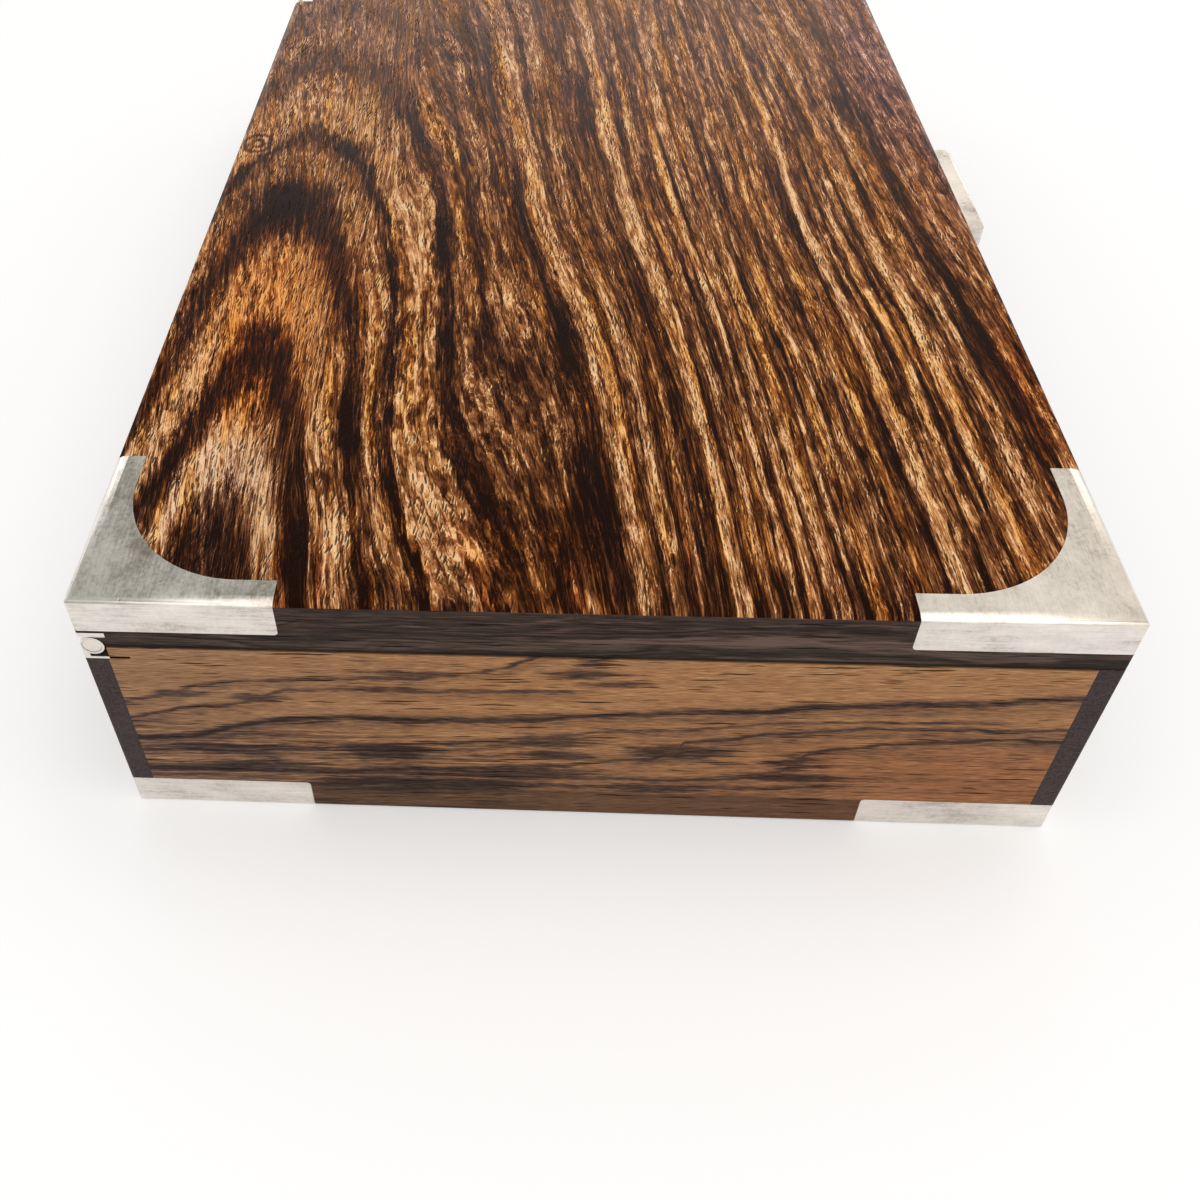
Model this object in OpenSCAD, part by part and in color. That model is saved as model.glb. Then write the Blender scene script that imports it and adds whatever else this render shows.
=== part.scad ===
/* [Box] */
// Outer length of the box, along the hinge
box_length = 207; // [170:1:250]
// Outer width of the box, from the thumb side to the hinge side
box_width = 130; // [100:1:170]
// Height of the box from its base to its rim
rim_height = 36.3; // [28:0.1:60]
// Thickness of the long sides and end panels
wall = 7.5; // [7:0.1:11]
// Thickness of the tongue by which each long side laps over the end panels
lap_tongue = 3.2; // [2.6:0.1:4.4]
// Thickness of the bottom panel
bottom_thick = 4; // [2.5:0.1:6]
// Radius that eases the lower edges of the box
base_ease = 0.4; // [0.2:0.05:0.8]

/* [Lid] */
// Gap between the rim and the lid
seam_gap = 0.2; // [0.1:0.02:0.4]
// Thickness of the lid
lid_thick = 8.7; // [7.6:0.1:12]
// Thickness of the figured top panel
top_thick = 1.2; // [1.1:0.05:2]
// Thickness of the panel on the inside of the lid
inner_thick = 0.8; // [0.4:0.05:1.4]
// Width of the mitred edge strips round the lid
edge_strip = 8; // [7:0.1:14]
// Distance over which the lid's upper edges curve away
ease_reach = 1.5; // [0.8:0.1:2.4]
// Height that the lid's upper edges lose at the face
ease_drop = 0.45; // [0.3:0.05:0.8]
// Radius of the upright corner edges
corner_ease = 0.4; // [0.2:0.05:0.8]

/* [Corner mounts] */
// Length of each leg of a corner mount
mount_leg = 26.2; // [22:0.1:34]
// Width of a leg where it ends
mount_band = 4; // [3:0.1:6]
// Radius of the curve between the legs
mount_curve = 17; // [8:0.1:17.5]
// Thickness of the mount's sheet
mount_sheet = 1; // [0.6:0.05:1.05]
// Height of the mount's flanges on the faces
mount_flange = 5.8; // [4.5:0.1:6]
// Radius of the flange's free corner
flange_ease = 0.6; // [0.3:0.05:1.2]

/* [Hinge] */
// Outer radius of the hinge barrel
barrel_radius = 1.62; // [1.5:0.02:1.9]
// Radius of the hinge pin
pin_radius = 1.25; // [0.8:0.05:1.3]
// Number of knuckles along the hinge, an odd number
knuckle_count = 9; // [5:2:13]
// Width of the lid's leaf
leaf_width = 3.75; // [3.3:0.05:5]
// Thickness of the lid's leaf
leaf_thick = 0.8; // [0.5:0.05:0.9]
// Thickness of the box's leaf
strip_thick = 0.4; // [0.3:0.05:0.7]
// Drop from the barrel to the box's leaf
strip_drop = 0.53; // [0.4:0.01:0.9]
// Depth of the sawn slot behind the box's leaf, from the back face
slot_depth = 6.1; // [5:0.1:6.4]
// Width of the web that joins a knuckle to its leaf
web_width = 1; // [0.7:0.05:1.4]

/* [Thumb tab] */
// Length of the tab along the lid
tab_length = 26.8; // [16:0.1:40]
// Reach of the tab out from the lid
tab_reach = 4.6; // [3:0.1:7]
// Height of the tab
tab_height = 4.4; // [3:0.1:4.8]
// Depth from the top of the lid to the top of the tab
tab_depth = 3.4; // [2.4:0.1:3.6]
// Depth to which the tab is let into the edge strip
tab_inlet = 1.5; // [0.8:0.1:2.5]
// Radius of the tab's outer upright corners
tab_corner = 0.8; // [0.4:0.05:1.5]
// Radius of the tab's outer top edge
tab_top_ease = 0.4; // [0.2:0.05:0.8]
// Radius of the tab's outer lower edge
tab_low_ease = 1.3; // [0.6:0.05:2]

/* [Hidden] */
$fn = 96;

// How far a cutting shape runs past what it cuts
overrun = 1;
// Clearance round the barrel, to wood and to the leaves
barrel_gap = 0.15;
// Clearance of the pin in its knuckles
pin_gap = 0.05;
// Clearance between neighbouring knuckles
knuckle_gap = 0.1;
// Depth of the pin's ends behind the end faces
pin_inset = 0.05;
// Clearance at the blind end of the sawn slot
slot_gap = 0.1;
// Clearance of nails and pegs in their holes
nail_gap = 0.03;
// Radius, head radius, head thickness and length of the hinge nails
nail_radius = 0.4;
nail_head = 0.85;
nail_head_thick = 0.25;
nail_length = 5;
// Radius, length and spacing of the tab's pegs
peg_radius = 0.8;
peg_length = 4.5;
peg_spacing = 15;

half_length = box_length / 2;
half_width = box_width / 2;
lid_low = rim_height + seam_gap;
lid_top = lid_low + lid_thick;
panel_low = lid_top - top_thick;
core_low = lid_low + inner_thick;
axis_y = half_width - barrel_radius;
axis_z = rim_height + seam_gap / 2;
bore_radius = pin_radius + pin_gap;
// The box's leaf lies below the barrel and the lid's leaf above it
strip_top = axis_z - barrel_radius - strip_drop;
strip_low = strip_top - strip_thick;
strip_width = 2 * barrel_radius + barrel_gap;
leaf_low = axis_z + barrel_radius + barrel_gap;
knuckle_pitch = box_length / knuckle_count;
nail_y = half_width - leaf_width / 2;
tab_top = lid_top - tab_depth;

figured_wood = [0.36, 0.20, 0.10];
dark_wood = [0.21, 0.16, 0.14];
golden_wood = [0.52, 0.35, 0.20];
plain_wood = [0.45, 0.31, 0.20];
silver_metal = [0.80, 0.78, 0.74];

// Turns its child over along one axis if wanted
module flipped(axis, wanted) {
    if (wanted) mirror(axis) children();
    else children();
}

// Puts a shape drawn inward from the origin at a corner of the plan; low ones are upside down
module at_corner(side_x, side_y, z) {
    translate([side_x * half_length, side_y * half_width, z])
        flipped([1, 0, 0], side_x < 0)
            flipped([0, 1, 0], side_y < 0)
                flipped([0, 0, 1], z == 0)
                    children();
}

// Removes what lies outside a round of the given reach and drop along an edge on the X axis
module ease_cut(run, reach, drop) {
    arc = (reach * reach + drop * drop) / (2 * drop);
    difference() {
        translate([-run / 2 - overrun, -reach, -drop])
            cube([run + 2 * overrun, reach + overrun, drop + overrun]);
        translate([0, -reach, -arc])
            rotate([0, 90, 0])
                cylinder(h = run + 4 * overrun, r = arc, center = true);
    }
}

// Rounds of one shape along the four edges of the plan, at the top or the bottom
module plan_edges_cut(z, reach, drop, low) {
    for (side = [-1, 1]) {
        translate([0, side * half_width, z])
            flipped([0, 1, 0], side < 0)
                flipped([0, 0, 1], low)
                    ease_cut(box_length, reach, drop);
        translate([side * half_length, 0, z])
            flipped([1, 0, 0], side < 0)
                flipped([0, 0, 1], low)
                    rotate([0, 0, -90])
                        ease_cut(box_width, reach, drop);
    }
}

// A block of the full plan with eased upright corners
module plan_block(low, high) {
    tall = high - low;
    difference() {
        translate([-half_length, -half_width, low])
            cube([box_length, box_width, tall]);
        for (side_x = [-1, 1], side_y = [-1, 1])
            translate([side_x * half_length, side_y * half_width, low + tall / 2])
                flipped([1, 0, 0], side_x < 0)
                    flipped([0, 1, 0], side_y < 0)
                        rotate([0, 90, 0])
                            ease_cut(tall, corner_ease, corner_ease);
    }
}

// Outer form of the box below the seam
module box_form() {
    difference() {
        plan_block(0, rim_height);
        plan_edges_cut(0, base_ease, base_ease, true);
    }
}

// Outer form of the lid
module lid_form() {
    difference() {
        plan_block(lid_low, lid_top);
        plan_edges_cut(lid_top, ease_reach, ease_drop, false);
    }
}

// Opening between the legs of a corner mount, with one round corner
module leg_opening() {
    reach = mount_leg - mount_band + overrun;
    tall = mount_sheet + 2 * overrun;
    translate([-mount_leg - overrun, -mount_leg - overrun, -mount_sheet - overrun]) {
        cube([reach, reach - mount_curve, tall]);
        cube([reach - mount_curve, reach, tall]);
        translate([reach - mount_curve, reach - mount_curve, 0])
            cylinder(h = tall, r = mount_curve);
    }
}

// Flange of a corner mount along the face Y = 0, its free corner rounded
module mount_flange_plate() {
    difference() {
        translate([-mount_leg, -mount_sheet, -mount_flange])
            cube([mount_leg, mount_sheet, mount_flange]);
        translate([-mount_leg, -mount_sheet / 2, -mount_flange])
            rotate([180, 0, -90])
                ease_cut(mount_sheet, flange_ease, flange_ease);
    }
}

// Corner mount drawn inward from its corner at the origin
module mount_blank() {
    difference() {
        translate([-mount_leg, -mount_leg, -mount_sheet])
            cube([mount_leg, mount_leg, mount_sheet]);
        leg_opening();
    }
    mount_flange_plate();
    mirror([1, -1, 0]) mount_flange_plate();
}

module lid_mount(side_x, side_y) {
    color(silver_metal)
        intersection() {
            lid_form();
            at_corner(side_x, side_y, lid_top) mount_blank();
        }
}

module base_mount(side_x, side_y) {
    color(silver_metal)
        intersection() {
            box_form();
            at_corner(side_x, side_y, 0) mount_blank();
        }
}

// Recesses for the mounts, on the lid or the base
module mount_recesses(z) {
    for (side_x = [-1, 1], side_y = [-1, 1])
        at_corner(side_x, side_y, z) mount_blank();
}

// Space of the bottom panel
module bottom_block() {
    translate([-half_length + lap_tongue, -half_width + lap_tongue, 0])
        cube([box_length - 2 * lap_tongue, box_width - 2 * lap_tongue, bottom_thick]);
}

// Rebate for the barrel and the box's leaf, and the sawn slot behind it
module box_hinge_space() {
    run = box_length + 2 * overrun;
    translate([-run / 2, half_width - strip_width, strip_low])
        cube([run, strip_width + overrun, axis_z - strip_low]);
    translate([-run / 2, half_width - slot_depth, strip_low])
        cube([run, slot_depth + overrun, strip_thick]);
}

// Long side with a tongue at each end that laps over the end panels, drawn on the thumb side
module side_blank() {
    translate([-half_length, -half_width, 0])
        cube([box_length, lap_tongue, rim_height]);
    translate([-half_length + wall, -half_width, 0])
        cube([box_length - 2 * wall, wall, rim_height]);
}

module front_side() {
    color(dark_wood)
        difference() {
            intersection() {
                box_form();
                side_blank();
            }
            bottom_block();
            mount_recesses(0);
        }
}

module back_side() {
    color(dark_wood)
        difference() {
            intersection() {
                box_form();
                mirror([0, 1, 0]) side_blank();
            }
            bottom_block();
            mount_recesses(0);
            box_hinge_space();
            nails_box_holes();
        }
}

// End panel between the tongues of the long sides
module end_panel(side) {
    color(golden_wood)
        difference() {
            intersection() {
                box_form();
                flipped([1, 0, 0], side > 0)
                    translate([-half_length, -half_width + lap_tongue, 0])
                        cube([wall, box_width - 2 * lap_tongue, rim_height]);
            }
            bottom_block();
            mount_recesses(0);
            box_hinge_space();
        }
}

module left_end_panel() {
    end_panel(-1);
}

module right_end_panel() {
    end_panel(1);
}

module bottom_panel() {
    color(plain_wood)
        difference() {
            bottom_block();
            mount_recesses(0);
        }
}

// Where knuckle i starts along the hinge
function knuckle_start(i) = -half_length + i * knuckle_pitch;

// A knuckle with the web that joins it to a leaf at the given height
module knuckle(start, run, leaf_face) {
    translate([start, axis_y, axis_z])
        rotate([0, 90, 0])
            cylinder(h = run, r = barrel_radius);
    translate([start, half_width - web_width, min(axis_z, leaf_face)])
        cube([run, web_width, abs(leaf_face - axis_z)]);
}

// Bore through all the knuckles
module hinge_bore() {
    translate([0, axis_y, axis_z])
        rotate([0, 90, 0])
            cylinder(h = box_length + 2 * overrun, r = bore_radius, center = true);
}

// One nail, its head's upper face at the origin and its shank pointing down
module nail(gap) {
    translate([0, 0, -nail_head_thick])
        cylinder(h = nail_head_thick, r = nail_head + gap);
    translate([0, 0, -nail_length])
        cylinder(h = nail_length, r = nail_radius + gap);
}

// Nails of the box's leaf lie below the lid's knuckles
module nails_box(gap) {
    for (i = [1 : 2 : knuckle_count - 2])
        translate([knuckle_start(i + 1 / 2), nail_y, strip_top + nail_head_thick])
            nail(gap);
}

// Nails of the lid's leaf point up, above the box's knuckles, with their heads sunk in the leaf
module nails_lid(gap) {
    for (i = [0 : 2 : knuckle_count - 1])
        translate([knuckle_start(i + 1 / 2), nail_y, leaf_low])
            mirror([0, 0, 1])
                nail(gap);
}

module nails_box_holes() {
    nails_box(nail_gap);
}

module hinge_leaf_box() {
    color(silver_metal)
        difference() {
            intersection() {
                plan_block(strip_low, axis_z + barrel_radius);
                union() {
                    translate([-half_length, half_width - strip_width, strip_low])
                        cube([box_length, strip_width, strip_thick]);
                    translate([-half_length + wall, half_width - slot_depth + slot_gap, strip_low])
                        cube([box_length - 2 * wall, slot_depth - slot_gap, strip_thick]);
                    for (i = [0 : 2 : knuckle_count - 1])
                        knuckle(knuckle_start(i), knuckle_pitch, strip_top);
                }
            }
            hinge_bore();
            nails_box_holes();
        }
}

module hinge_pin() {
    color(silver_metal)
        translate([0, axis_y, axis_z])
            rotate([0, 90, 0])
                cylinder(h = box_length - 2 * pin_inset, r = pin_radius, center = true);
}

module hinge_nails_box() {
    color(silver_metal) nails_box(0);
}

// Leaf slot, cove round the barrel and the open corner behind it, cut from the lid's wood
module lid_hinge_space() {
    run = box_length + 2 * overrun;
    translate([-run / 2, half_width - leaf_width, leaf_low])
        cube([run, leaf_width + overrun, leaf_thick]);
    translate([0, axis_y, axis_z])
        rotate([0, 90, 0])
            cylinder(h = run, r = barrel_radius + barrel_gap, center = true);
    translate([-run / 2, axis_y, axis_z])
        cube([run, barrel_radius + overrun, leaf_low - axis_z]);
}

// The thumb tab without its pegs, or the mortise that takes it
module tab_block() {
    outer = -half_width - tab_reach;
    difference() {
        translate([-tab_length / 2, outer, tab_top - tab_height])
            cube([tab_length, tab_reach + tab_inlet, tab_height]);
        translate([0, outer, tab_top])
            mirror([0, 1, 0])
                ease_cut(tab_length, tab_top_ease, tab_top_ease);
        translate([0, outer, tab_top - tab_height])
            mirror([0, 1, 0])
                mirror([0, 0, 1])
                    ease_cut(tab_length, tab_low_ease, tab_low_ease);
        for (side = [-1, 1])
            translate([side * tab_length / 2, outer, tab_top - tab_height / 2])
                flipped([1, 0, 0], side < 0)
                    mirror([0, 1, 0])
                        rotate([0, 90, 0])
                            ease_cut(tab_height, tab_corner, tab_corner);
    }
}

// Pegs soldered to the back of the tab
module tab_pegs(gap) {
    for (side = [-1, 1])
        translate([side * peg_spacing / 2, -half_width + tab_inlet, tab_top - tab_height / 2])
            rotate([-90, 0, 0])
                cylinder(h = peg_length, r = peg_radius + gap);
}

module thumb_tab() {
    color(silver_metal)
        union() {
            tab_block();
            tab_pegs(0);
        }
}

// Edge strip along the thumb side, its ends mitred
module long_edge_blank() {
    translate([0, 0, lid_low])
        linear_extrude(panel_low - lid_low)
            polygon([
                [-half_length, -half_width],
                [half_length, -half_width],
                [half_length - edge_strip, -half_width + edge_strip],
                [-half_length + edge_strip, -half_width + edge_strip]
            ]);
}

// Edge strip along the left end, its ends mitred
module short_edge_blank() {
    translate([0, 0, lid_low])
        linear_extrude(panel_low - lid_low)
            polygon([
                [-half_length, -half_width],
                [-half_length + edge_strip, -half_width + edge_strip],
                [-half_length + edge_strip, half_width - edge_strip],
                [-half_length, half_width]
            ]);
}

module lid_edge_front() {
    color(dark_wood)
        difference() {
            intersection() {
                lid_form();
                long_edge_blank();
            }
            mount_recesses(lid_top);
            tab_block();
            tab_pegs(nail_gap);
        }
}

module lid_edge_back() {
    color(dark_wood)
        difference() {
            intersection() {
                lid_form();
                mirror([0, 1, 0]) long_edge_blank();
            }
            mount_recesses(lid_top);
            lid_hinge_space();
            nails_lid(nail_gap);
        }
}

// Edge strip at one end of the lid
module end_edge(side) {
    color(dark_wood)
        difference() {
            intersection() {
                lid_form();
                flipped([1, 0, 0], side > 0) short_edge_blank();
            }
            mount_recesses(lid_top);
            lid_hinge_space();
        }
}

module lid_edge_left() {
    end_edge(-1);
}

module lid_edge_right() {
    end_edge(1);
}

module lid_top_panel() {
    color(figured_wood)
        difference() {
            intersection() {
                lid_form();
                plan_block(panel_low, lid_top);
            }
            mount_recesses(lid_top);
        }
}

// Panel inside the edge strips, between two heights
module inside_panel(low, high) {
    translate([-half_length + edge_strip, -half_width + edge_strip, low])
        cube([box_length - 2 * edge_strip, box_width - 2 * edge_strip, high - low]);
}

module lid_core() {
    color(plain_wood) inside_panel(core_low, panel_low);
}

module lid_inner_panel() {
    color(plain_wood) inside_panel(lid_low, core_low);
}

module hinge_leaf_lid() {
    color(silver_metal)
        difference() {
            intersection() {
                plan_block(axis_z - barrel_radius, leaf_low + leaf_thick);
                union() {
                    translate([-half_length, half_width - leaf_width, leaf_low])
                        cube([box_length, leaf_width, leaf_thick]);
                    for (i = [1 : 2 : knuckle_count - 2])
                        knuckle(
                            knuckle_start(i) + knuckle_gap,
                            knuckle_pitch - 2 * knuckle_gap,
                            leaf_low
                        );
                }
            }
            hinge_bore();
            nails_lid(nail_gap);
        }
}

module hinge_nails_lid() {
    color(silver_metal) nails_lid(0);
}

front_side();
back_side();
left_end_panel();
right_end_panel();
bottom_panel();
base_mount(-1, -1);  // base_mount_front_left
base_mount(1, -1);  // base_mount_front_right
base_mount(-1, 1);  // base_mount_back_left
base_mount(1, 1);  // base_mount_back_right
hinge_leaf_box();
hinge_pin();
hinge_nails_box();
lid_core();
lid_top_panel();
lid_inner_panel();
lid_edge_front();
lid_edge_back();
lid_edge_left();
lid_edge_right();
lid_mount(-1, -1);  // lid_mount_front_left
lid_mount(1, -1);  // lid_mount_front_right
lid_mount(-1, 1);  // lid_mount_back_left
lid_mount(1, 1);  // lid_mount_back_right
thumb_tab();
hinge_leaf_lid();
hinge_nails_lid();
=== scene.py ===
"""Looks of the table box: woods, silver, softened arrises, floor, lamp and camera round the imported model."""

import math

import bpy
import numpy as np
from mathutils import Matrix, Vector


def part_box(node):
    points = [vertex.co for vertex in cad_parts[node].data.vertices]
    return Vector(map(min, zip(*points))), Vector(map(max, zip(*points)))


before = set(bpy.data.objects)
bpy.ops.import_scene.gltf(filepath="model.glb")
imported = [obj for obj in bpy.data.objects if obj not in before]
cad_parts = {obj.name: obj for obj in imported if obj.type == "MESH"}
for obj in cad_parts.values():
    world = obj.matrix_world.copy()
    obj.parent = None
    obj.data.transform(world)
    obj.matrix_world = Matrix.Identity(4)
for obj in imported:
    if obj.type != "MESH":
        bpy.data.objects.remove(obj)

bl_info = {
    "name": "Table box looks",
    "version": (1, 0, 0),
    "blender": (4, 5, 0),
    "location": "3D View > Sidebar > Table box",
    "description": "Finishes the packed table box with wood and silver materials and a plain studio",
    "category": "Material",
}

MM = 0.001
# Half the height of the slot sawn for the hinge leaf, in millimetres.
HALF_SLOT = 0.2
# Sizes in millimetres, read from the imported model: the figured top, the slot sawn for the hinge leaf, the
# rim of the box, and the lower edges of the lid's strips and of its mounts.
TOP_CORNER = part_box("lid_top_panel")[1]
HALF_LENGTH = TOP_CORNER.x / MM
HALF_WIDTH = TOP_CORNER.y / MM
LID_TOP = TOP_CORNER.z / MM
LEAF_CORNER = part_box("hinge_leaf_box")[0]
SLOT_HEIGHT = LEAF_CORNER.z / MM + HALF_SLOT
SLOT_END = LEAF_CORNER.y / MM
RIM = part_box("left_end_panel")[1].z / MM
LID_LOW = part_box("lid_edge_left")[0].z / MM
MOUNT_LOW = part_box("lid_mount_front_left")[0].z / MM


class Wire:
    """A shader socket that can stand in Python arithmetic; each operation adds one node to its tree."""

    def __init__(self, tree, socket):
        self.tree = tree
        self.socket = socket

    def calc(self, operation, *values):
        """Adds a Math node, or a Vector Math node where this socket is a vector or a colour."""
        vector = self.socket.type in ("VECTOR", "RGBA")
        kind = "ShaderNodeVectorMath" if vector else "ShaderNodeMath"
        return self.tree.node(kind, {"operation": operation}, dict(enumerate(values)))[0]

    def __add__(self, other):
        return self.calc("ADD", self, other)

    def __radd__(self, other):
        return self.calc("ADD", other, self)

    def __sub__(self, other):
        return self.calc("SUBTRACT", self, other)

    def __rsub__(self, other):
        return self.calc("SUBTRACT", other, self)

    def __mul__(self, other):
        return self.calc("MULTIPLY", self, other)

    def __rmul__(self, other):
        return self.calc("MULTIPLY", other, self)

    def __truediv__(self, other):
        return self.calc("DIVIDE", self, other)

    def __rtruediv__(self, other):
        return self.calc("DIVIDE", other, self)

    def __neg__(self):
        return self.calc("MULTIPLY", self, -1.0)

    def __abs__(self):
        return self.calc("ABSOLUTE", self)

    def __pow__(self, other):
        return self.calc("POWER", self, other)

    def __rpow__(self, other):
        return self.calc("POWER", other, self)

    def root(self):
        """The square root."""
        return self.calc("SQRT", self)

    def sine(self):
        """The sine of an angle in radians."""
        return self.calc("SINE", self)

    def cosine(self):
        """The cosine of an angle in radians."""
        return self.calc("COSINE", self)

    def least(self, other):
        """The smaller of the two values."""
        return self.calc("MINIMUM", self, other)

    def most(self, other):
        """The larger of the two values."""
        return self.calc("MAXIMUM", self, other)

    def bell(self, width):
        """e to the power of minus (value / width) squared: 1 at nought, fading away on both sides."""
        squared = self * self * (-1.0 / width ** 2)
        return squared.calc("EXPONENT", squared)

    def step(self, low, high):
        """Climbs smoothly from 0 at low to 1 at high; low may be the larger of the two."""
        node = self.tree.node("ShaderNodeMapRange", {"interpolation_type": "SMOOTHSTEP"},
                              {"Value": self, "From Min": low, "From Max": high})
        return node["Result"]


class Outputs:
    """The output sockets of a node as wires, by name or number."""

    def __init__(self, tree, node):
        self.tree = tree
        self.node = node

    def __getitem__(self, key):
        return Wire(self.tree, self.node.outputs[key])


class Tree:
    """The node tree of one material or of the world."""

    def __init__(self, owner):
        owner.use_nodes = True
        self.nodes = owner.node_tree.nodes
        self.links = owner.node_tree.links
        self.nodes.clear()

    def put(self, socket, value):
        """Links a wire to a socket, or writes a number, vector or colour on it."""
        if isinstance(value, Wire):
            self.links.new(value.socket, socket)
        elif hasattr(value, "__len__") and socket.type == "RGBA" and len(value) == 3:
            socket.default_value = (*value, 1.0)
        elif not hasattr(value, "__len__") and socket.type == "VECTOR":
            socket.default_value = (value, value, value)
        else:
            socket.default_value = value

    def node(self, kind, settings=None, sockets=None):
        """Adds a node: its settings first, a ramp's stops among them, then its sockets' values or links."""
        made = self.nodes.new(kind)
        for name, value in (settings or {}).items():
            if name == "stops":
                elements = made.color_ramp.elements
                elements[0].position, elements[1].position = value[0][0], value[-1][0]
                elements[0].color = colour4(value[0][1])
                elements[1].color = colour4(value[-1][1])
                for place, shade in value[1:-1]:
                    elements.new(place).color = colour4(shade)
            elif name == "ramp_interpolation":
                made.color_ramp.interpolation = value
            else:
                setattr(made, name, value)
        for key, value in (sockets or {}).items():
            self.put(made.inputs[key], value)
        return Outputs(self, made)

    def place(self):
        """The point on the piece in millimetres, as three wires x, y and z."""
        point = self.node("ShaderNodeTexCoord")["Object"]
        parts = self.node("ShaderNodeSeparateXYZ", None, {0: point * (1.0 / MM)})
        return parts["X"], parts["Y"], parts["Z"]

    def surface_or_space(self, x, y, z):
        """The kind of pattern, 2D or 3D, that the coordinates call for, and the coordinates as a vector."""
        size = "2D" if z is None else "3D"
        depth = 0.0 if z is None else z
        return size, self.node("ShaderNodeCombineXYZ", None, {0: x, 1: y, 2: depth})[0]

    def noise(self, x, y, z=None, detail=2.0, rough=0.5):
        """Soft noise between 0 and 1, centred on one half, with one feature to each unit."""
        size, vector = self.surface_or_space(x, y, z)
        return self.node("ShaderNodeTexNoise", {"noise_dimensions": size},
                         {"Vector": vector, "Scale": 1.0, "Detail": detail, "Roughness": rough})["Fac"]

    def cells(self, x, y, z=None):
        """Scattered cells, one to each unit: the distance to the nearest centre, and that cell's colour."""
        size, vector = self.surface_or_space(x, y, z)
        made = self.node("ShaderNodeTexVoronoi", {"voronoi_dimensions": size},
                         {"Vector": vector, "Scale": 1.0, "Randomness": 1.0})
        return made["Distance"], made["Color"]

    def ramp(self, value, stops, interpolation="LINEAR"):
        """A colour ramp over 0 to 1."""
        return self.node("ShaderNodeValToRGB", {"ramp_interpolation": interpolation, "stops": stops},
                         {"Fac": value})["Color"]

    def grey(self, colour):
        """A colour's first channel as a value."""
        return self.node("ShaderNodeSeparateColor", None, {0: colour})[0]

    def mix(self, factor, first, second, blend="MIX"):
        """Mixes two colours, which are the node's inputs 6 and 7 and its output 2."""
        return self.node("ShaderNodeMix", {"data_type": "RGBA", "blend_type": blend},
                         {0: factor, 6: first, 7: second})[2]

    def tinted(self, body, chosen, usual):
        """A body colour moved from the usual middle colour of its piece to the one that the user chose."""
        shift = tuple(new / old for new, old in zip(chosen, usual))
        return self.mix(1.0, body, shift, "MULTIPLY")

    def finish(self, colour, roughness, height, depth, metal=0.0, **constants):
        """Joins colour, roughness and relief to a surface shader; depth is the relief's height in metres."""
        bump = self.node("ShaderNodeBump", None, {"Strength": 1.0, "Distance": depth, "Height": height})
        sockets = {"Base Color": colour, "Roughness": roughness, "Metallic": metal, "Normal": bump["Normal"]}
        sockets.update({name.replace("_", " "): value for name, value in constants.items()})
        surface = self.node("ShaderNodeBsdfPrincipled", None, sockets)["BSDF"]
        self.node("ShaderNodeOutputMaterial", None, {"Surface": surface})


def linear(red, green, blue):
    """A colour written as it looks on screen, 0 to 255, turned to the linear values that Blender mixes."""
    shown = np.array((red, green, blue)) / 255.0
    mixed = np.where(shown <= 0.04045, shown / 12.92, ((shown + 0.055) / 1.055) ** 2.4)
    return tuple(float(value) for value in mixed)


def colour4(shade):
    """A ramp stop's colour: a grey number or three linear values, made four."""
    if isinstance(shade, (int, float)):
        return (shade, shade, shade, 1.0)
    return (*shade, 1.0)


# The middle colours of the woods and of the silver, which the settings start from.
FIGURED = linear(150, 94, 53)
GOLDEN = linear(160, 114, 77)
EDGE_STRIP = linear(70, 55, 49)
LONG_SIDE = linear(84, 60, 44)
END_GRAIN = linear(68, 57, 57)
PLAIN = linear(186, 146, 106)
SILVER = linear(218, 211, 204)
# Depth of the pores and of the brushing.
PORE_DEPTH = 0.05 * MM
BRUSH_DEPTH = 0.03 * MM

# Rings of the figured top that can be told apart one by one, in three runs that meet end to end: place in
# millimetres of ring height, and brightness.
RING_RUNS = (
    ((0.0, 0.32), (0.8, 0.10), (1.75, 0.80), (2.9, 0.06), (3.8, 0.66), (4.5, 0.60), (5.3, 0.12), (6.2, 0.58),
     (6.65, 0.46), (6.95, 0.04), (7.25, 0.60), (7.9, 0.72), (8.5, 0.46), (8.9, 0.12), (9.9, 0.50),
     (10.6, 0.25), (11.5, 0.50), (12.7, 0.36), (14.0, 0.10), (15.2, 0.76), (16.2, 0.72), (17.0, 0.26),
     (18.4, 0.64), (19.8, 0.22), (20.8, 0.42), (22.5, 0.14), (24.0, 0.22), (24.7, 0.86), (25.9, 0.84),
     (26.8, 0.20), (27.5, 0.30)),
    ((27.5, 0.30), (28.4, 0.66), (29.0, 0.58), (29.7, 0.10), (30.4, 0.42), (30.8, 0.30), (31.4, 0.74),
     (32.0, 0.70), (32.6, 0.14), (33.4, 0.70), (34.4, 0.70), (35.2, 0.16), (36.0, 0.70), (37.3, 0.68),
     (38.2, 0.10), (39.2, 0.58), (40.0, 0.08), (41.0, 0.72), (41.9, 0.62), (42.8, 0.22), (43.4, 0.40),
     (44.5, 0.58), (45.6, 0.20), (46.6, 0.62), (47.8, 0.60), (48.6, 0.28), (49.4, 0.34), (50.6, 0.05),
     (51.5, 0.86), (52.5, 0.84)),
    ((52.5, 0.84), (53.7, 0.18), (54.5, 0.52), (55.5, 0.10), (56.4, 0.76), (57.3, 0.62), (58.0, 0.16),
     (58.7, 0.56), (59.5, 0.12), (60.5, 0.74), (62.4, 0.70), (63.2, 0.30), (63.7, 0.40), (64.1, 0.14),
     (65.1, 0.70), (66.6, 0.66), (67.3, 0.18), (68.2, 0.38), (69.2, 0.06), (70.8, 0.0), (71.8, 0.30),
     (73.0, 0.62), (74.2, 0.35), (75.0, 0.60), (76.0, 0.30), (78.0, 0.45)))
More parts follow.
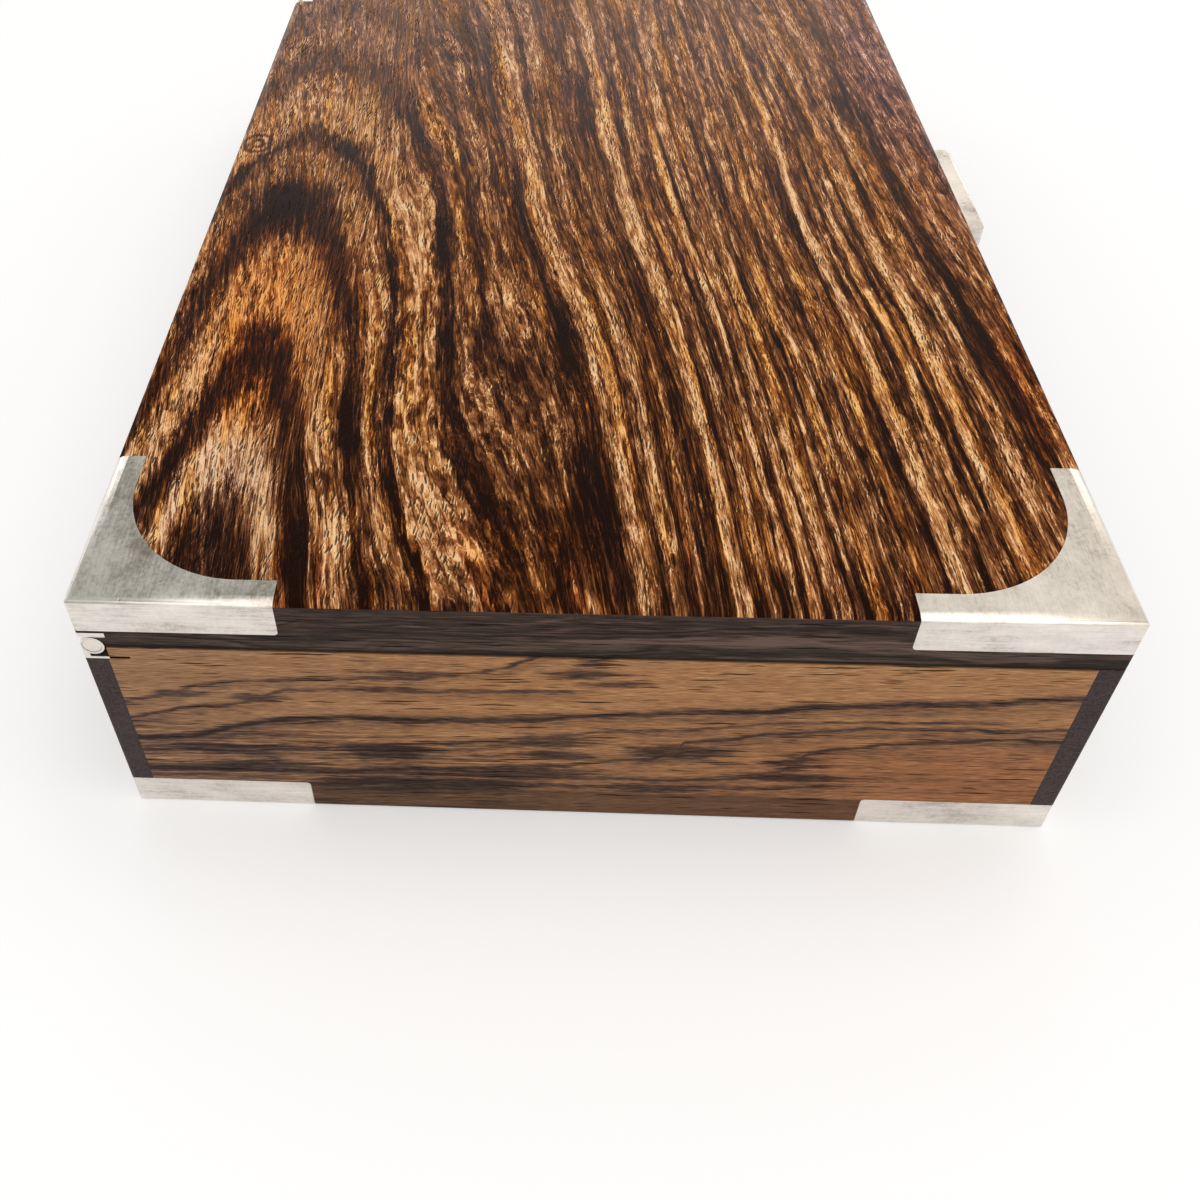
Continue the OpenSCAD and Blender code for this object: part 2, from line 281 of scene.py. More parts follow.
# Half the length over which one run of rings gives way to the next.
RING_JOIN = 0.1
# Soft ovals of the top that don't follow the rings, such as the dull patch and the dark hollows: distance
# from the hinge edge and from the far end, half width and half length in millimetres, and change of
# brightness.
TOP_OVALS = ((11.5, 112.0, 8.5, 9.5, -0.36), (62.5, 150.0, 2.6, 13.0, -0.25),
             (65.0, 190.0, 4.2, 12.0, -0.30), (31.5, 172.0, 3.4, 6.0, -0.22),
             (22.5, 95.5, 3.4, 3.6, -0.40), (33.5, 195.0, 1.8, 6.5, 0.45),
             (27.0, 199.0, 3.2, 9.0, -0.25), (44.5, 178.0, 3.0, 14.0, 0.15))
# Shades of the top and of the end panels: place on the ramp from dark to pale, and colour.
TOP_SHADES = ((0.0, linear(28, 10, 4)), (0.15, linear(52, 25, 10)), (0.30, linear(86, 48, 24)),
              (0.44, linear(120, 72, 37)), (0.57, linear(150, 94, 53)), (0.70, linear(187, 128, 78)),
              (0.84, linear(220, 164, 110)), (1.0, linear(247, 205, 154)))
END_SHADES = ((0.0, linear(52, 36, 29)), (0.15, linear(70, 51, 42)), (0.30, linear(97, 72, 57)),
              (0.45, linear(124, 90, 68)), (0.60, linear(160, 114, 77)), (0.75, linear(180, 130, 88)),
              (1.0, linear(214, 168, 120)))
# Insides of pores, and painted shade in slots and seams.
TOP_PORE = linear(22, 9, 4)
END_PORE = linear(18, 12, 9)
SLOT_SHADE = linear(22, 15, 13)
STRIP_SEAM_SHADE = linear(20, 14, 12)
# The silver's smudges, dull places and bright lines, as shares of its clean colour.
SMUDGED_SHARES = (0.20, 0.165, 0.14)
DULL_SHARES = (0.54, 0.50, 0.46)
BRIGHT_SHARE = 1.30


def figured_top(middle):
    """The lid's figured top: rings nested round a heart near the hinge edge, slanting streaks beside it."""
    material = bpy.data.materials.new("figured_rosewood")
    tree = Tree(material)
    x, y, z = tree.place()
    # Distance from the hinge edge and from the far end.
    across = HALF_WIDTH - y
    along = HALF_LENGTH - x

    def reach(centre_across, centre_along, wide, long):
        """Distance from the middle of an oval, 1 on its edge."""
        a = (across - centre_across) * (1.0 / wide)
        b = (along - centre_along) * (1.0 / long)
        return (a * a + b * b).root()

    def spot(centre_across, centre_along, wide, long):
        """A soft oval, 1 in its middle."""
        return reach(centre_across, centre_along, wide, long).bell(1.0)

    # Fibres run nearly along the box. Streaks lean one way and the open vessels a little the other way.
    fibre = across + (2 * HALF_LENGTH - along) * (0.13 - across * 0.0008)
    vessel = across + along * 0.05 + tree.noise(across * 0.06, along * 0.05) * 4.0
    feather = tree.noise(fibre * 1.3, along * 0.13, detail=3, rough=0.62) - 0.5
    wander = tree.noise(across * 0.05, along * 0.018, detail=2) - 0.5
    swirl = tree.noise(across * 0.13, along * 0.06, detail=2) - 0.5

    # The ring height: rings stand apart widely round the heart and closely towards the tab edge, and it
    # rises towards the far end, so its level lines are arches round the heart and slanting lines beyond it.
    heart = 14.4 + 1.7 * along.step(112, 169)
    off = across - heart
    off = off + off * off.bell(24.6) * along.step(94, 187) * 1.15
    off = off - 4.0 * along.step(106, 175) * (across - 66.7).bell(17.5)
    rounded = (off * off + 27.4 ** 2).root() - 27.4
    beyond = (off - 21.7).most(0.0)
    capped = beyond.least(54.9)
    grown = capped * capped * (0.70 / 109.8) + (beyond - capped) * 0.70
    spread = off.step(10, 75)
    ring = rounded * 0.30 + grown + (2 * HALF_LENGTH - along) * 0.060
    ring = ring + wander * (0.30 + 1.5 * spread) + swirl * 0.45 * (1 - spread)

    # The flow: the ring height bent so that one unit is about a millimetre across everywhere; it carries
    # what runs along the rings. In the heart the flow gives way to the straight fibres.
    flow = ring.most(0.01) ** 0.4455 * 15.5 + 16.0
    legs = off.step(2.0, 20.0)
    flow = fibre + (flow - fibre) * legs + feather * 0.5
    ripple = tree.noise(fibre * 0.50 + 17.0, along * 0.085, detail=2, rough=0.6) - 0.5
    ring = ring + feather * (0.90 - 0.25 * spread) + ripple * 1.1 * spread

    # The rings one by one.
    rings_tone = None
    for run in RING_RUNS:
        start = run[0][0]
        length = run[-1][0] - start
        stops = [((place - start) / length, brightness) for place, brightness in run]
        shade = tree.ramp((ring - start) / length, stops, "EASE")
        if rings_tone is None:
            rings_tone = shade
        else:
            rings_tone = tree.mix(ring.step(start - RING_JOIN, start + RING_JOIN), rings_tone, shade)
    rings_tone = tree.grey(rings_tone)

    # Streaks along the rings, from broad to hair fine, and thin dark lines between them.
    fade = tree.noise(flow * 0.16 + 50.0, along * 0.030, detail=2) - 0.5
    streaks = tree.noise(flow * 0.90 + 9.0, along * 0.030, detail=3, rough=0.65) - 0.5
    fine = tree.noise(flow * 2.2, along * 0.060, detail=3, rough=0.7) - 0.5
    ridge = abs(tree.noise(flow * 0.62 + 30.0, along * 0.018, detail=3, rough=0.65) - 0.5)
    line = ridge.step(0.030, 0.0)
    depth = (0.62 + 0.38 * along.step(70, 130)) * (1.05 + 0.9 * fade)
    tone = (rings_tone - 0.44) * depth * (0.98 - 0.24 * spread) + 0.46
    tone = tone + streaks * (0.40 + 0.65 * legs) + fine * (0.45 + 0.45 * legs)
    tone = tone - line * (0.10 + 0.14 * legs) - along.step(194, 204) * 0.08
    tone = tone - 0.05 * along.step(120, 170) * legs

    # Places that don't follow the rings: the ovals, and the knot and the small eye with rings of their own.
    for *oval, change in TOP_OVALS:
        tone = tone + spot(*oval) * change
    knot_far = reach(3.5, 93.0, 0.95, 1 / 0.9) + feather * 0.5 + swirl * 0.8
    knot_rings = (knot_far * 3.6).sine() * 0.22 + 0.45
    tone = tone + (knot_rings - tone) * spot(3.5, 93.0, 4.2, 4.8).step(0.20, 0.70) * 0.9
    eye_far = reach(28.7, 186.0, 1 / 0.95, 1 / 0.55) + feather * 1.2 + swirl * 1.5
    eye_rings = (eye_far * 3.2).cosine() * 0.18 + 0.34
    tone = tone + (eye_rings - tone) * spot(29.0, 185.0, 3.2, 4.5).step(0.30, 0.90) * 0.85

    # Crisp detail along the fibres: long cells, each with a brightness of its own, soft flecks, hairs, and
    # pale threads that come and go.
    _, cell_shade = tree.cells(flow * 1.9 + feather * 1.2, along * 0.24)
    chips = tree.grey(cell_shade) - 0.5
    flecks = tree.noise(flow * 2.8 + feather, along * 0.30, detail=3, rough=0.7) - 0.5
    hairs = tree.noise(flow * 6.5, along * 0.20, detail=2, rough=0.6) - 0.5
    where = tree.noise(flow * 0.5 + 70.0, along * 0.10, detail=2)
    thread = abs(tree.noise(flow * 1.5 + 60.0, along * 0.16, detail=3, rough=0.65) - 0.5).step(0.028, 0.006)
    thread = thread * where.step(0.46, 0.62)
    lively = tone.step(0.10, 0.55)
    crisp = (0.50 + 0.50 * lively) * (1.40 - 0.40 * legs)
    crisp = crisp * (1 + 0.35 * along.step(105, 170))
    tone = tone + (chips * 0.28 + flecks * 0.84 + hairs * 0.80 + thread * 0.28) * crisp
    # Painted haze of reflection: the contrast is lowered towards the far end.
    far = along.step(85, 10)
    tone = 0.47 + (tone - 0.47) * (1 - 0.25 * far)

    # Pores: open vessels cut lengthwise, dark inside with a painted highlight along one edge, crowded in some
    # streaks.
    crowd = tree.noise(flow * 0.45 + 5.0, along * 0.07, detail=2)

    def slits(offset):
        """The dark slits of the large vessels, all moved across by an offset in millimetres."""
        gap, shade = tree.cells((vessel - offset) * 2.4, along * 0.44)
        chance = tree.grey(shade)
        size = (chance + crowd * 1.8).step(1.25, 1.95) * (0.40 - 0.13 * spread)
        return (gap - size).step(0.07, -0.03) * size.step(0.05, 0.10)

    pore = slits(0.0)
    rim = (slits(0.18) - pore).most(0.0)
    gap_small, shade_small = tree.cells(vessel * 3.6 + 40.0, along * 0.80)
    pore_small = (gap_small - 0.30 * crowd * tree.grey(shade_small)).step(0.09, 0.0)
    pale = tone.step(0.30, 0.70)
    # The pale edge beside each slit is a painted highlight.
    tone = tone + rim * (0.10 + 0.15 * pale)

    body = tree.ramp(tone, TOP_SHADES)
    body = tree.tinted(body, middle, FIGURED)
    # Painted haze of reflection: the far end is turned bluer.
    body = tree.mix(1.0, body, tree.mix(far, (1.0, 1.0, 1.0), (1.0, 1.08, 1.40)), "MULTIPLY")
    # A painted grey haze of reflection on the far half, mauve wood along the tab edge and dull wood in the
    # heart.
    body = tree.mix(along.step(140, 30) * 0.06, body, linear(214, 206, 204))
    mauve = across.step(114, 127) * along.step(150, 100)
    body = tree.mix(mauve * 0.7, body, tree.mix(1.0, body, (1.0, 1.05, 1.75), "MULTIPLY"))
    heartwood = off.bell(15) * along.step(166, 186)
    body = tree.mix(heartwood * 0.8, body, tree.mix(1.0, body, (0.92, 1.05, 1.55), "MULTIPLY"))
    # Streaks of yellower and of greyer brown; orange wood round the heart towards the near end and by the
    # tab edge; redder wood along the near edge.
    hue = tree.noise(flow * 0.55 + 90.0, along * 0.022, detail=2)
    body = tree.mix(hue.step(0.48, 0.66) * 0.8, body, tree.mix(1.0, body, linear(255, 236, 176), "MULTIPLY"))
    dull = hue.step(0.50, 0.34) * (1 - 0.7 * pale)
    body = tree.mix(dull * 0.8, body, tree.mix(1.0, body, linear(236, 236, 246), "MULTIPLY"))
    orange = (off.bell(17) * along.step(116, 140) * along.step(184, 166)).most(spot(127.5, 163.0, 3.0, 17.0))
    red = along.step(188, 204) * tree.noise(flow * 0.35 + 20.0, along * 0.02).step(0.52, 0.72)
    body = tree.mix(orange * 0.75, body, tree.mix(1.0, body, linear(255, 208, 132), "MULTIPLY"))
    body = tree.mix(red * 0.5, body, tree.mix(1.0, body, linear(255, 186, 150), "MULTIPLY"))
    body = tree.mix(pore * (0.40 + 0.40 * pale), body, TOP_PORE)
    body = tree.mix(pore_small * (0.15 + 0.45 * pale), body, TOP_PORE)
    # The top's outer edge is dark like the strips below it.
    edge = (abs(x) - HALF_LENGTH).most(abs(y) - HALF_WIDTH).step(-0.06, -0.02)
    edge_grain = tree.noise(x * 0.16, y * 0.16 + 31.0, z * 3.0, detail=4, rough=0.7)
    edge_shade = tree.mix(edge_grain.step(0.25, 0.75), linear(40, 30, 27), linear(92, 75, 68))
    body = tree.mix(edge, body, edge_shade)
    rough = 0.42 - 0.06 * pale + 0.25 * pore + 0.14 * flecks
    height = (flecks * 0.25 + hairs * 0.15) - pore * 0.9 - pore_small * 0.5 + rim * 0.12
    tree.finish(body, rough, height, PORE_DEPTH, Specular_IOR_Level=0.03)
    return material


def solid_wood(name, grain, middle, dark=0.26, pale=2.65, flame=1.0, seed=0.0, contrast=1.0, pores=0.85,
               ends=None, low=None):
    """Solid wood with its grain along the X or Y axis: streaks and long pores on the sides.

    Dark and pale streaks are the middle colour times dark and times pale. Where ends gives a colour, the end
    grain has it, with dots and rays. Where low gives a height and a tint, the wood below that height has the
    tint, and its outer faces get painted shade just over the seam under the lid."""
    material = bpy.data.materials.new(name)
    tree = Tree(material)
    x, y, z = tree.place()
    run, side = (x, y) if grain == "X" else (y, x)
    wave = tree.noise(run * 0.030 + seed, side * 0.10, z * 0.10, detail=3, rough=0.55) - 0.5
    jag = tree.noise(run * 0.10 + seed, side * 0.50, z * 0.50, detail=3, rough=0.6) - 0.5
    ring = z + 0.35 * side + (wave * 9.0 + jag * 1.6) * flame
    broad = tree.noise(ring * 0.22 + seed, run * 0.006, side * 0.02, detail=3, rough=0.6) - 0.5
    line = tree.noise(ring * 0.9 + seed, run * 0.014, side * 0.05, detail=3, rough=0.65) - 0.5
    streak = tree.noise(run * 0.045 + seed, side * 1.8, z * 1.8, detail=3, rough=0.65) - 0.5
    fleck = tree.noise(run * 0.16 + seed, side * 3.4, z * 3.4, detail=3, rough=0.7) - 0.5
    hair = tree.noise(run * 0.26 + seed, side * 8.0, z * 8.0, detail=2) - 0.5
    tone = 0.5 + contrast * (broad * 1.6 + line * 1.3 + streak * 0.9 + fleck * 1.1 + hair * 0.9)
    pore = long_pores(tree, run, side, z, seed) * pores
    black = tuple(value * dark for value in middle)
    white = tuple(min(1.0, value * pale) for value in middle)
    body = tree.ramp(tone, ((0.0, black), (0.5, tuple(middle)), (1.0, white)))
    if low is not None:
        edge, tint = low
        body = tree.mix(z.step(edge + 0.1, edge - 0.1), body, tree.mix(1.0, body, tint, "MULTIPLY"))
        # Painted shade on the outer faces just over the seam under the lid.
        outer = (abs(x) - HALF_LENGTH).most(abs(y) - HALF_WIDTH).step(-0.30, -0.05)
        body = tree.mix((z - LID_LOW).step(0.42, 0.22) * outer * 0.75, body, STRIP_SEAM_SHADE)
    if ends is not None:
        grain_end = abs(run).step(HALF_LENGTH - 0.05, HALF_LENGTH - 0.02)
        speckle = tree.noise(side * 2.6, z * 2.6, run * 2.6, detail=3, rough=0.75) - 0.5
        dots, _ = tree.cells(side * 2.6, z * 2.6, run * 2.6)
        rays = tree.noise(side * 0.5, z * 4.0, run * 0.5, detail=2) - 0.5
        shade = 0.55 + speckle * 2.4 + broad * 0.5 + rays - dots.step(0.26, 0.14) * 0.6
        cut = tree.mix(shade, tuple(value * 0.50 for value in ends), tuple(value * 1.55 for value in ends))
        body = tree.mix(grain_end, body, cut)
        pore = pore * (1 - grain_end)
    body = tree.mix(pore, body, tuple(value * 0.25 for value in black))
    height = fleck * 0.35 + hair * 0.2 - pore
    rough = 0.50 + 0.15 * fleck + 0.15 * pore
    tree.finish(body, rough, height, PORE_DEPTH, Specular_IOR_Level=0.06)
    return material


def long_pores(tree, run, side, z, seed, share=0.62):
    """Open vessels cut lengthwise: black slits a few millimetres long, left out in a share of the cells."""
    wave = (tree.noise(run * 0.30 + seed, side * 0.5, z * 0.5) - 0.5) * 0.5
    gap, shade = tree.cells(run * 0.075 + seed, side * 1.5, (z + wave) * 1.5)
    shown = tree.grey(shade).step(share, share + 0.04)
    near, near_shade = tree.cells(run * 0.16 + seed + 7.0, side * 2.6, (z + wave) * 2.6)
    near_shown = tree.grey(near_shade).step(share, share + 0.04)
    return ((gap - 0.20).step(0.08, -0.04) * shown).most((near - 0.17).step(0.10, -0.02) * near_shown * 0.9)


# Dark lines of the end panels: half width in millimetres, depth of the dark, where the line fades out
# towards the front, and points (place towards the hinge, height) in millimetres.
DARK_LINES = (
    (0.42, 0.42, 4.0, ((66, 23.8), (61.6, 24.5), (55.2, 26.9), (51.8, 28.3), (47.3, 29.4), (38.1, 30.6),
                       (21.6, 31.1), (17.7, 31.8), (13.7, 32.6), (10.5, 34.1), (5.9, 36.3), (2, 38))),
    (0.42, 0.42, 0.0, ((66, 20.0), (61.4, 20.9), (57.8, 22.1), (54.5, 23.5), (46.0, 24.5), (43.0, 25.8),
                       (39.4, 28.0), (34.7, 28.2), (28.2, 28.7), (21.6, 28.2), (8.5, 28.9), (-6, 29.6))),
    (0.75, 0.60, -70.0, ((66, 16.0), (54.5, 16.6), (51.2, 17.7), (47.9, 19.1), (41.3, 21.3), (36.8, 21.9),
                         (15.0, 22.2), (8.5, 22.9), (-4.0, 24.3), (-10.5, 25.0), (-23.7, 26.0),
                         (-26.9, 26.9), (-40.1, 28.2), (-50.0, 28.5), (-54.5, 29.4), (-61.5, 30.3))),
    (0.45, 0.40, -54.0, ((66, 13.0), (40, 14.5), (20, 16.5), (2.6, 19.5), (-4.0, 20.6), (-13.8, 21.3),
                         (-19.0, 22.2), (-23.7, 23.4), (-30.3, 23.9), (-46.6, 24.5), (-61.5, 25.2))),
    (0.50, 0.48, -70.0, ((66, 8.0), (30, 9.5), (2.6, 12.1), (-4.0, 13.7), (-9.2, 14.3), (-12.5, 16.4),
                         (-13.2, 18.3), (-19.0, 19.3), (-23.7, 20.9), (-33.5, 22.2), (-46.6, 23.1),
                         (-61.5, 23.4))),
    (0.50, 0.46, -70.0, ((0, 9.0), (-20, 9.8), (-27, 12.2), (-29.6, 16.4), (-32.9, 17.7), (-36.8, 18.4),
                         (-40.1, 19.3), (-44.7, 20.2), (-50.0, 20.5), (-55.2, 21.1), (-61.5, 20.6))),
    (0.55, 0.46, -36.0, ((66, 4.0), (30, 6.0), (-1.3, 7.2), (-9.2, 7.2), (-20.4, 7.8), (-33.2, 8.8),
                         (-40, 9.4))))
# The places that the lines run over, and a height above them all, which scale the ramp of each line.
LINES_START = -66.0
LINES_LENGTH = 132.0
LINES_TOP = 40.0

# Feathered dark patches of the end panels: place towards the hinge, height, half length and half height.
DARK_PATCHES = ((53.5, 26.7, 4.0, 0.8), (42.8, 25.9, 2.6, 1.0), (26.7, 28.8, 4.0, 0.6),
                (21.6, 32.0, 6.0, 0.6), (-0.5, 35.2, 2.0, 1.1), (1.0, 32.8, 4.0, 0.8),
                (-3.0, 30.9, 3.0, 0.6), (26.9, 14.3, 6.0, 1.7), (44.6, 9.8, 7.0, 1.3),
                (4.5, 18.0, 5.0, 1.5), (21.6, 6.8, 15.0, 1.4), (8.5, 10.0, 10.0, 1.5),
                (3.0, 14.5, 5.0, 1.0), (-12.5, 16.2, 6.0, 1.4), (-29.0, 14.3, 2.6, 1.8),
                (-27.6, 10.8, 7.0, 0.9), (-9.2, 7.0, 7.0, 1.1), (50.0, 14.0, 10.0, 1.0))


def end_panel_wood(name, turn, seed, golden):
    """Golden wood of the short ends: inky lines that climb to the front, and feathered patches low down.

    The pattern's places run towards the hinge where turn is 1, and away from it where turn is -1."""
    material = bpy.data.materials.new(name)
    tree = Tree(material)
    x, y, z = tree.place()
    inward = HALF_LENGTH - abs(x)
    place = y * turn
    comb = tree.noise(place * 0.055 + seed, z * 2.4, inward, detail=3, rough=0.7) - 0.5
    zig = tree.noise(place * 0.10 + seed, z * 0.25, inward * 0.1, detail=2) - 0.5
    jag = tree.noise(place * 0.30 + seed, z * 1.2, inward * 0.4, detail=3, rough=0.65) - 0.5
    strong = tree.noise(place * 0.07 + seed + 3.0, z * 0.12, inward * 0.1, detail=2)
    height = z + 0.4 * inward + zig * 1.8 + jag * 1.2 + comb * 1.1
    # A ramp over the place gives each line's height.
    share = (place - LINES_START) / LINES_LENGTH
    dark = 0.0
    for half, depth, end, points in DARK_LINES:
        stops = sorted(((spot - LINES_START) / LINES_LENGTH, level / LINES_TOP) for spot, level in points)
        line = tree.grey(tree.ramp(share, stops)) * LINES_TOP
        depth = (place - end).step(-3.0, 3.0) * depth
        dark = ((height - line).bell(half) * depth * (0.45 + 1.1 * strong)).most(dark)
        dark = ((height - line + 1.1).bell(half * 2.2) * depth * 0.60 * strong).most(dark)

    combed = place + comb * 20.0 + jag * 6.0
    lifted = z + zig + jag * 0.9
    for middle, level, long, high in DARK_PATCHES:
        a = (combed - middle) * (0.8 / long)
        b = (lifted - level) * (0.8 / high)
        dark = ((a * a + b * b).root().step(1.3, 0.50) * 0.45).most(dark)
    busy = place.step(-2, 14) * (z - 0.05 * place).step(18.5, 15.5)
    lean = z + 0.035 * place + zig * 0.8
    band = tree.noise(z * 0.45 + zig * 0.8 + seed, place * 0.012, inward * 0.5, detail=3, rough=0.6) - 0.5
    streak = tree.noise(place * 0.060 + seed, lean * 1.3, inward * 1.3, detail=4, rough=0.75) - 0.5
    fleck = tree.noise(place * 0.30 + seed, lean * 3.2, inward * 3.2, detail=3, rough=0.75) - 0.5
    hair = tree.noise(place * 0.45 + seed, lean * 8.0, inward * 8.0, detail=2) - 0.5
    low_front = place.step(5, -15) * z.step(26, 16)
    tone = 0.70 + band * 0.36 - busy * 0.16 - low_front * 0.09
    tone = tone + streak * (0.45 + 1.9 * busy + 0.45 * low_front)
    tone = tone + fleck * 0.62 + hair * 0.95 - dark * (1 + streak * 1.6)
    pore = long_pores(tree, place, inward, lean, seed, share=0.52)
    body = tree.ramp(tone, END_SHADES)
    body = tree.tinted(body, golden, GOLDEN)
    ruddy = place.step(0, -50) * z.step(24, 14)
    body = tree.mix(ruddy * 0.7, body, tree.mix(1.0, body, linear(246, 222, 216), "MULTIPLY"))
    dull = place.step(10, 60)
    body = tree.mix(dull * 0.6, body, tree.mix(1.0, body, linear(228, 242, 268), "MULTIPLY"))
    foot = z.step(6.4, 5.2)
    body = tree.mix(foot * 0.75, body, tree.mix(tone, linear(52, 38, 32), linear(98, 72, 56)))
    body = tree.mix(pore * 0.88, body, END_PORE)
    # Painted shade in the sawn slot behind the box's leaf and in the seam under the lid.
    slot = abs(z - SLOT_HEIGHT).step(HALF_SLOT + 0.05, HALF_SLOT) * (y - SLOT_END).step(-0.1, 0.1)
    seam = z.step(RIM - 0.32, RIM - 0.12)
    body = tree.mix(slot.most(seam * 0.8) * 0.9, body, SLOT_SHADE)
    relief = fleck * 0.3 + hair * 0.2 + streak * 0.2 - pore
    rough = 0.52 + 0.12 * fleck + 0.15 * pore
    tree.finish(body, rough, relief, PORE_DEPTH, Specular_IOR_Level=0.06)
    return material


def brushed_silver(name, colour, seed=0.0):
    """Brushed and handled silver: fine lines along the edges, dull smudges, small scratches and dents."""
    material = bpy.data.materials.new(name)
    tree = Tree(material)
    x, y, z = tree.place()
    flat = z.step(LID_TOP - 0.14, LID_TOP - 0.05)
    brush = tree.noise(x * 0.16 + seed, y * 0.16, z * 4.5, detail=4, rough=0.7) - 0.5
    grain = tree.noise(x * 0.35, y * 4.5 + seed, z * 0.5, detail=3, rough=0.7) - 0.5
    satin = tree.noise(x * 1.6 + seed, y * 1.6, z * 1.6, detail=4, rough=0.7) - 0.5
    smudge = tree.noise(x * 0.11, y * 0.11 + seed, z * 0.30, detail=4, rough=0.6) - 0.5
    line, line_shade = tree.cells(x * 0.30 + y * 0.12 + seed, y * 0.75 - x * 0.28, z * 0.9)
    scratch = (line - 0.02).step(0.05, 0.0) * tree.grey(line_shade).step(0.55, 0.60)
    pit, pit_shade = tree.cells(x * 0.7 + seed, y * 0.7, z * 1.1)
    dent = (pit - 0.10).step(0.12, 0.0) * tree.grey(pit_shade).step(0.80, 0.84)
    tone = 0.68 + brush * 0.66 * (1 - flat) + grain * 0.46 * flat + satin * (0.40 + 0.20 * flat)
    # The flat tops are darker, most towards the hinge: painted shade standing in for their greyer reflection.
    tone = tone + smudge * 0.85 - scratch * 0.25 - dent * 0.18 - flat * (0.04 + 0.09 * y.step(-20, 50))
    smudged = tuple(value * share for value, share in zip(colour, SMUDGED_SHARES))
    dull = tuple(value * share for value, share in zip(colour, DULL_SHARES))
    bright = tuple(min(1.0, value * BRIGHT_SHARE) for value in colour)
    body = tree.ramp(tone, [(0.0, smudged), (0.35, dull), (0.62, tuple(colour)), (1.0, bright)])
    rough = 0.33 + brush * 0.10 + satin * 0.12 + smudge * 0.18 + scratch * 0.1
    height = brush * 0.8 * (1 - flat) + grain * 0.5 * flat + satin * 0.35 - scratch * 0.4 - dent * 0.8
    tree.finish(body, rough, height, BRUSH_DEPTH, metal=1.0)
    return material


# Softening of a CAD piece: points nearer to each other than the first value are joined, faces that turn less
# than the second are merged, and arrises that turn more than the third are rounded, in so many facets.
JOIN_DISTANCE = 0.002 * MM
FLAT_ANGLE = math.radians(0.5)
ARRIS_ANGLE = math.radians(38)
ARRIS_FACETS = 2


def soften(obj, width):
    """Takes the razor edge off a CAD piece: joins its loose faces, merges flat ones, rounds its arrises."""
    weld = obj.modifiers.new("join_faces", "WELD")
    weld.merge_threshold = JOIN_DISTANCE
    flat = obj.modifiers.new("merge_flat", "DECIMATE")
    flat.decimate_type = "DISSOLVE"
    flat.angle_limit = FLAT_ANGLE
    bevel = obj.modifiers.new("soft_arris", "BEVEL")
    bevel.width = width
    bevel.segments = ARRIS_FACETS
    bevel.limit_method = "ANGLE"
    bevel.angle_limit = ARRIS_ANGLE
    bevel.use_clamp_overlap = True
    bevel.harden_normals = False


def dress(names, material, arris=0.0):
    """Gives CAD nodes a material on every slot, and softens their arrises where a width is given."""
    for name in names:
        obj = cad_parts[name]
        if not obj.material_slots:
            obj.data.materials.append(material)
        for material_slot in obj.material_slots:
            material_slot.material = material
        if arris > 0:
            soften(obj, arris)


def colour_setting(name, description, default):
    """A colour that the user may change, shown with Blender's colour field."""
    return bpy.props.FloatVectorProperty(name=name, description=description, default=default, size=3,
                                         subtype="COLOR", min=0.0, max=1.0)


def length_setting(name, description, default):
    """A length in metres that the user may change."""
    return bpy.props.FloatProperty(name=name, description=description, default=default, min=0.0,
                                   precision=5, subtype="DISTANCE", unit="LENGTH")


class TableBoxWood(bpy.types.PropertyGroup):
    """Sizes and colours of the wood that a user may change."""

    arris: length_setting("Wood arris", "Width of the rounding on the wooden arrises", 0.06 * MM)
    figured: colour_setting("Lid top", "Middle colour of the figured lid top", FIGURED)
    golden: colour_setting("End panels", "Middle colour of the panels at the short ends", GOLDEN)
    strips: colour_setting("Lid edge", "Middle colour of the dark strips round the lid", EDGE_STRIP)
    long_sides: colour_setting("Long sides", "Middle colour of the long sides", LONG_SIDE)
    end_grain: colour_setting("End grain", "Colour of the long sides' ends", END_GRAIN)
    plain: colour_setting("Inside", "Middle colour of the plain wood inside the box and the lid", PLAIN)


class TableBoxSilver(bpy.types.PropertyGroup):
    """Sizes and colours of the silver that a user may change."""

    arris: length_setting("Silver arris", "Width of the rounding on the silver arrises", 0.10 * MM)
    colour: colour_setting("Silver", "Colour of the clean silver", SILVER)


class TableBoxStudio(bpy.types.PropertyGroup):
    """Floor, lamp and camera."""

    floor_colour: colour_setting("Floor", "Colour of the floor", (0.86, 0.86, 0.86))
    key_power: bpy.props.FloatProperty(name="Key lamp", description="Power of the large lamp above",
                                       default=7.5, min=0.0, subtype="POWER", unit="POWER")
    key_size: length_setting("Lamp size", "Width of the large lamp above", 1.5)
    fill: bpy.props.FloatProperty(name="Fill light", description="Strength of the even light from all round",
                                  default=0.64, min=0.0)
    lens: bpy.props.FloatProperty(name="Lens", description="Focal length of the camera in millimetres",
                                  default=36.5, min=1.0, subtype="DISTANCE_CAMERA")


class TABLEBOX_OT_lid_top(bpy.types.Operator):
    """Finishes the figured top of the lid"""

    bl_idname = "table_box.lid_top"
    bl_label = "Lid top"

    def execute(self, context):
        wood = context.scene.table_box_wood
        dress(["lid_top_panel"], figured_top(wood.figured), wood.arris)
        return {"FINISHED"}


class TABLEBOX_OT_lid_edges(bpy.types.Operator):
    """Finishes the dark strips round the lid"""

    bl_idname = "table_box.lid_edges"
    bl_label = "Lid edge strips"

    def execute(self, context):
        wood = context.scene.table_box_wood
        strips = (("edge_wood_long", "X", 3.0, ("lid_edge_front", "lid_edge_back")),
                  ("edge_wood_short", "Y", 8.0, ("lid_edge_left", "lid_edge_right")))
        foot = (MOUNT_LOW, linear(226, 234, 230))
        for name, grain, seed, pieces in strips:
            material = solid_wood(name, grain, wood.strips, flame=1.2, seed=seed, contrast=1.35, low=foot)
            dress(pieces, material, wood.arris)
        return {"FINISHED"}


